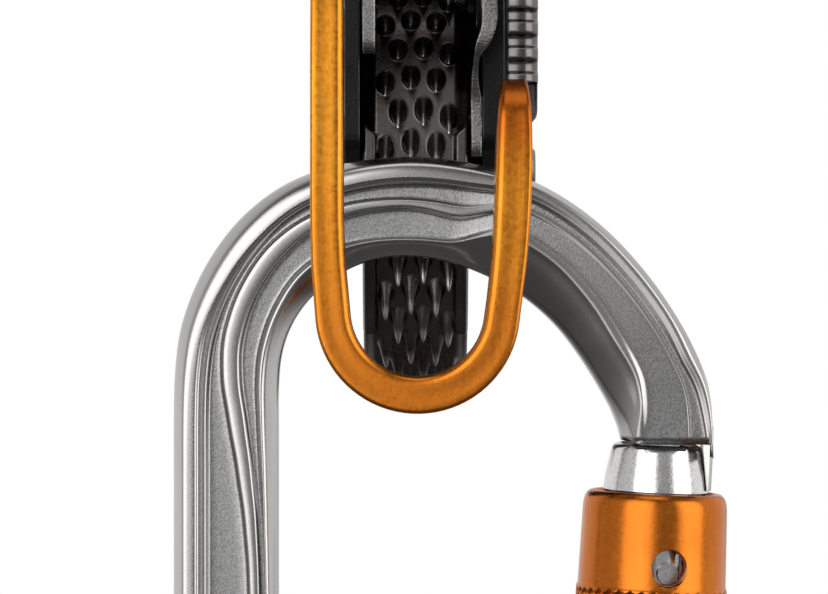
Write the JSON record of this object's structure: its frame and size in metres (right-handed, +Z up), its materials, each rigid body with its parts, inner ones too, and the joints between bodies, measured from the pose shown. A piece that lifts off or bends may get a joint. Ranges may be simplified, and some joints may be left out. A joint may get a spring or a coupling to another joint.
{
  "type": "mobile rope grab with locking carabiner",
  "caption": "Mobile rope grab: toothed locking wheel between dark plates, gold capture arm and thumb catch, with an H-section auto-locking carabiner.",
  "frame": {"origin": "on the rope's axis, at the foot of the half-round rope seat", "axes": "+Z up along the rope, -Y to the open rope side, +X along the wheel axle towards the catch"},
  "size_m": [0.0683, 0.0879, 0.1582],
  "materials": {
    "dark_plate": "semi-gloss",
    "guide_sheet": "satin, fine grain",
    "dark_steel": "burnished",
    "wheel_steel": "oiled dark steel",
    "spring_steel": "bright",
    "bronze": "satin",
    "gold_anodised": "satin anodised",
    "orange_anodised": "satin anodised",
    "catch_metal": "polished dark",
    "forged_aluminium": "grey anodised, blasted pockets",
    "turned_aluminium": "turned, bright",
    "grey_tube": "satin"
  },
  "bodies": {
    "frame": {"frame_left": "dark_plate", "frame_right": "dark_plate", "rope_guide": "guide_sheet", "rear_bridge": "dark_plate", "frame_spacers": "dark_steel", "frame_rivets": "dark_steel", "wheel_axle": "dark_steel", "axle_nut": "dark_steel", "ratchet_ring": "dark_steel", "arm_axle": "dark_steel", "arm_axle_clip": "spring_steel", "arm_axle_spacer": "dark_steel", "catch_pin": "dark_steel", "catch_spring": "spring_steel"},
    "wheel": {"wheel_rim": "wheel_steel", "wheel_cover": "wheel_steel", "cover_screws": "dark_steel", "wheel_bush": "bronze", "pawl_pins": "dark_steel", "pawl_spring_a": "spring_steel", "pawl_spring_b": "spring_steel"},
    "pawl_a": {"pawl_a": "dark_steel"},
    "pawl_b": {"pawl_b": "dark_steel"},
    "arm": {"arm": "gold_anodised", "arm_bush": "bronze"},
    "catch": {"safety_catch": "catch_metal"},
    "carabiner": {"carabiner_body": "forged_aluminium", "gate_rivet": "turned_aluminium"},
    "gate": {"gate": "turned_aluminium", "gate_guide_pin": "spring_steel", "gate_plunger": "turned_aluminium", "gate_spring": "spring_steel"},
    "sleeve_carrier": {"sleeve_guide": "grey_tube", "sleeve_spring": "spring_steel"},
    "sleeve": {"locking_sleeve": "orange_anodised", "sleeve_ring": "orange_anodised"}
  },
  "joints": [
    {"name": "wheel_spin", "type": "hinge", "parent": "frame", "child": "wheel", "pos_m": [-0.00105, 0.0388, -0.0245], "axis": [1, 0, 0], "continuous": true},
    {"name": "pawl_a_swing", "type": "hinge", "parent": "wheel", "child": "pawl_a", "pos_m": [-0.00105, 0.0388, -0.0075], "axis": [1, 0, 0], "range_deg": [0, 8], "stiffness_Nm_per_rad": 0.004, "springref_deg": -11.46},
    {"name": "pawl_b_swing", "type": "hinge", "parent": "wheel", "child": "pawl_b", "pos_m": [-0.00105, 0.0388, -0.0415], "axis": [1, 0, 0], "range_deg": [0, 8], "stiffness_Nm_per_rad": 0.004, "springref_deg": -11.46},
    {"name": "arm_swing", "type": "hinge", "parent": "frame", "child": "arm", "pos_m": [-0.01225, 0.0188, 0.0115], "axis": [-1, 0, 0], "range_deg": [0, 75]},
    {"name": "safety_catch_press", "type": "hinge", "parent": "frame", "child": "catch", "pos_m": [0.01215, -0.0012, 0.0135], "axis": [1, 0, 0], "range_deg": [0, 12], "stiffness_Nm_per_rad": 0.08, "springref_deg": -17.19},
    {"name": "carabiner_swing", "type": "hinge", "parent": "arm", "child": "carabiner", "pos_m": [-0.00215, 0.00095, -0.052], "axis": [0, 1, 0], "range_deg": [-10, 10]},
    {"name": "gate_hinge", "type": "hinge", "parent": "carabiner", "child": "gate", "pos_m": [0.02688, 0.00095, -0.1036], "axis": [0, -1, 0], "range_deg": [0, 25], "stiffness_Nm_per_rad": 0.06, "springref_deg": -22.92},
    {"name": "sleeve_slide", "type": "slide", "parent": "gate", "child": "sleeve_carrier", "axis": [-0.045, 0, -0.999], "range_m": [0, 0.003], "stiffness_N_per_m": 350, "springref_m": -0.004, "deforming": ["sleeve_spring"]},
    {"name": "sleeve_twist", "type": "hinge", "parent": "sleeve_carrier", "child": "sleeve", "pos_m": [0.02688, 0.00095, -0.1036], "axis": [0.045, 0, 0.999], "range_deg": [0, 90], "stiffness_Nm_per_rad": 0.01, "springref_deg": -17.19}
  ],
  "couplings": [
    {"joint": "pawl_b_swing", "follows": "pawl_a_swing", "ratio": 1}
  ]
}
